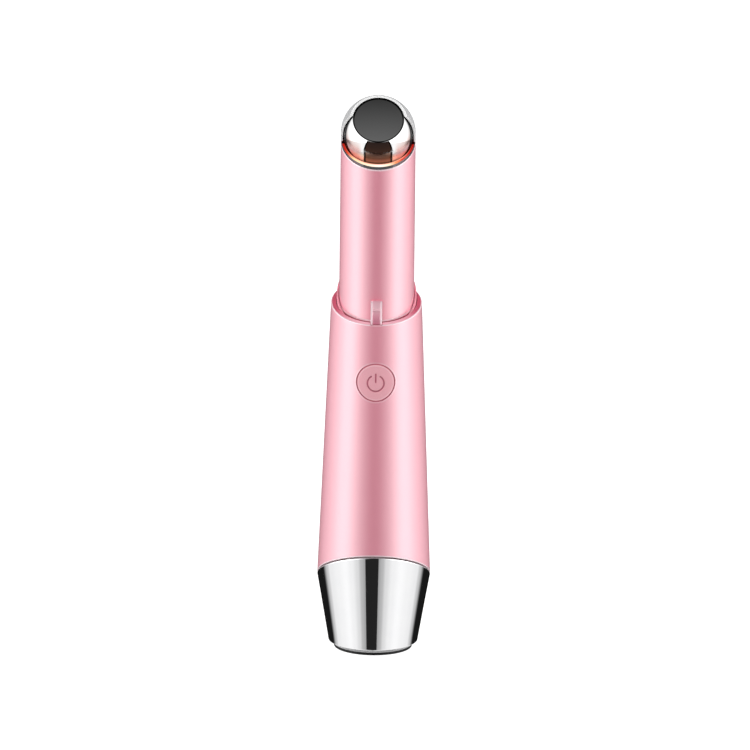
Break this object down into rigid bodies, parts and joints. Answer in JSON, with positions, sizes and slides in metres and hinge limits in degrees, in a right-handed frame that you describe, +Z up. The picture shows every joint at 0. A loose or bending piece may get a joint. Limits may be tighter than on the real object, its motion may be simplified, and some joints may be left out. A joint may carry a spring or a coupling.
{
  "type": "eye massager",
  "caption": "Upright eye massager wand: tapered handle with a round power button, slim barrel, and a slanted head with a heated metal probe, glowing ring and hood, on a cup-shaped base.",
  "frame": {"origin": "middle of the foot's underside, the face that the wand stands on", "axes": "+Z up along the wand, -Y to the front with the button and the probe's flat face, +X to the right"},
  "size_m": [0.0288, 0.0288, 0.1452],
  "materials": {
    "pink_satin": "satin pearl lacquer",
    "deep_pink": "soft satin",
    "chrome": "mirror",
    "dark_chrome": "dark satin mirror",
    "pale_grey": "satin",
    "red_glow": "translucent",
    "black_plastic": "fine texture",
    "white_plastic": "smooth",
    "grey_plastic": "fine texture",
    "steel": "plain",
    "brass": "plain",
    "copper": "enamelled wire",
    "green_board": "solder mask",
    "ceramic": "matt",
    "blue_sleeve": "shrink film",
    "red_wire": "smooth"
  },
  "bodies": {
    "wand": {"foot_disc": "pale_grey", "base_cup": "chrome", "base_carrier": "white_plastic", "base_screw_left": "steel", "base_screw_right": "steel", "charging_socket": "black_plastic", "socket_pin": "brass", "charge_board": "green_board", "charge_chip": "black_plastic", "body_shell": "pink_satin", "collar_ring": "pink_satin", "barrel": "pink_satin", "trim_ring": "dark_chrome", "light_ring": "red_glow", "led_board": "green_board", "head_hood": "pale_grey", "massage_head": "chrome", "heater_plate": "ceramic", "temperature_sensor": "black_plastic", "probe_seat": "black_plastic", "motor_holder": "grey_plastic", "motor_can": "steel", "motor_end_cap": "white_plastic", "motor_magnet_left": "grey_plastic", "motor_magnet_right": "grey_plastic", "chassis": "grey_plastic", "circuit_board": "green_board", "board_screw_low": "steel", "board_screw_high": "steel", "control_chip": "black_plastic", "wire_header": "white_plastic", "drive_transistor_left": "black_plastic", "drive_transistor_right": "black_plastic", "board_capacitor_left": "brass", "board_capacitor_right": "brass", "battery_cell": "blue_sleeve", "battery_tab": "steel", "switch_body": "black_plastic", "red_led_1": "red_glow", "red_led_2": "red_glow", "red_led_3": "red_glow", "red_led_4": "red_glow", "red_led_5": "red_glow", "motor_wire_left": "red_wire", "motor_wire_right": "red_wire", "led_wire_left": "white_plastic", "led_wire_right": "white_plastic", "heater_wire_left": "red_wire", "heater_wire_right": "red_wire", "charge_wire_left": "red_wire", "charge_wire_right": "red_wire", "battery_wire_left": "black_plastic", "battery_wire_right": "black_plastic"},
    "button": {"power_button": "deep_pink"},
    "plunger": {"switch_plunger": "brass"},
    "rotor": {"motor_shaft": "steel", "motor_armature": "copper", "eccentric_weight": "steel"}
  },
  "joints": [
    {"name": "button_press", "type": "slide", "parent": "wand", "child": "button", "axis": [0, 1, 0], "range_m": [0, 0.0004], "stiffness_N_per_m": 600},
    {"name": "plunger_press", "type": "slide", "parent": "wand", "child": "plunger", "axis": [0, 1, 0], "range_m": [0, 0.0004]},
    {"name": "rotor_spin", "type": "hinge", "parent": "wand", "child": "rotor", "pos_m": [0, 0, 0.0987], "axis": [0, 0, 1], "continuous": true}
  ],
  "couplings": [
    {"joint": "plunger_press", "follows": "button_press", "ratio": 1}
  ]
}
